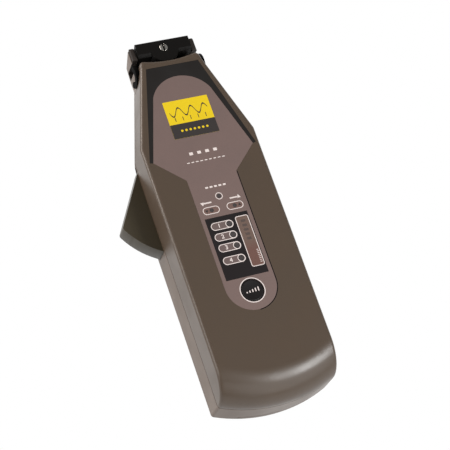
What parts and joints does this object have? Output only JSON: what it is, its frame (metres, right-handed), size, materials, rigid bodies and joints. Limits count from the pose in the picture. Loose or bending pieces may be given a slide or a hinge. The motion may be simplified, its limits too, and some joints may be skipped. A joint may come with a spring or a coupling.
{
  "type": "optical fiber identifier",
  "caption": "Handheld optical fibre identifier with a tapered clamp head, side squeeze trigger, indicator panel, adjust button and rear battery door.",
  "frame": {"origin": "on the flat back of the case, on the centre line, where the device rests on a table", "axes": "+X to the right seen from the front, +Y along the body towards the fibre head, +Z out of the front panel"},
  "size_m": [0.0757, 0.1949, 0.0311],
  "materials": {
    "case_plastic": "fine matt texture",
    "rear_plastic": "fine matt texture",
    "panel_film": "satin printed film",
    "band_film": "satin printed film",
    "window_film": "smooth dark window",
    "bar_plastic": "translucent smoked red",
    "lens_plastic": "clear lens",
    "label_film": "printed film",
    "board_laminate": "solder mask",
    "chip_plastic": "moulded",
    "lamp_plastic": "tinted",
    "trigger_plastic": "fine matt texture",
    "button_plastic": "satin",
    "head_plastic": "satin black",
    "guide_plastic": "satin black",
    "pad_rubber": "soft",
    "steel": "bright",
    "nickel": "nickel plated",
    "battery_jacket": "printed jacket",
    "contact_plastic": "moulded"
  },
  "bodies": {
    "case": {"front_shell": "case_plastic", "rear_shell": "rear_plastic", "overlay_panel": "panel_film", "border_band": "band_film", "display_window": "window_film", "bar_lens": "bar_plastic", "signal_lenses": "lens_plastic", "direction_lenses": "lens_plastic", "no_signal_lens": "lens_plastic", "label_plate": "label_film", "main_board": "board_laminate", "lamps": "lamp_plastic", "bar_module": "chip_plastic", "tact_switch": "chip_plastic", "buzzer": "chip_plastic", "logic_chip": "chip_plastic", "amplifier_chip": "chip_plastic", "board_screws": "steel", "case_screws": "steel", "battery": "battery_jacket", "battery_contacts": "contact_plastic", "head_block": "head_plastic", "head_screw": "nickel", "photodiodes": "chip_plastic", "fibre_guide_left": "guide_plastic", "fibre_guide_right": "guide_plastic", "pivot_pin": "steel", "pivot_clip": "steel", "return_spring": "steel", "slider_keeper": "steel", "keeper_screws": "steel"},
    "trigger": {"trigger_lever": "trigger_plastic", "drive_pin": "steel"},
    "slide": {"jaw_slider": "head_plastic", "clamp_jaw": "head_plastic", "jaw_pads": "pad_rubber", "jaw_screws": "steel"},
    "button": {"adjust_button": "button_plastic"},
    "door": {"battery_door": "rear_plastic"}
  },
  "joints": [
    {"name": "trigger_swing", "type": "hinge", "parent": "case", "child": "trigger", "pos_m": [-0.011, 0.028, 0.009], "axis": [0, 0, 1], "range_deg": [0, 28], "stiffness_Nm_per_rad": 0.08},
    {"name": "jaw_slide", "type": "slide", "parent": "case", "child": "slide", "axis": [0, 1, 0], "range_m": [0, 0.00455]},
    {"name": "adjust_press", "type": "slide", "parent": "case", "child": "button", "axis": [0, 0, -1], "range_m": [0, 0.0006], "stiffness_N_per_m": 400},
    {"name": "battery_door_slide", "type": "slide", "parent": "case", "child": "door", "axis": [0, -1, 0], "range_m": [0, 0.058]}
  ],
  "couplings": [
    {"joint": "jaw_slide", "follows": "trigger_swing", "m_per_rad": 0.0093067}
  ]
}
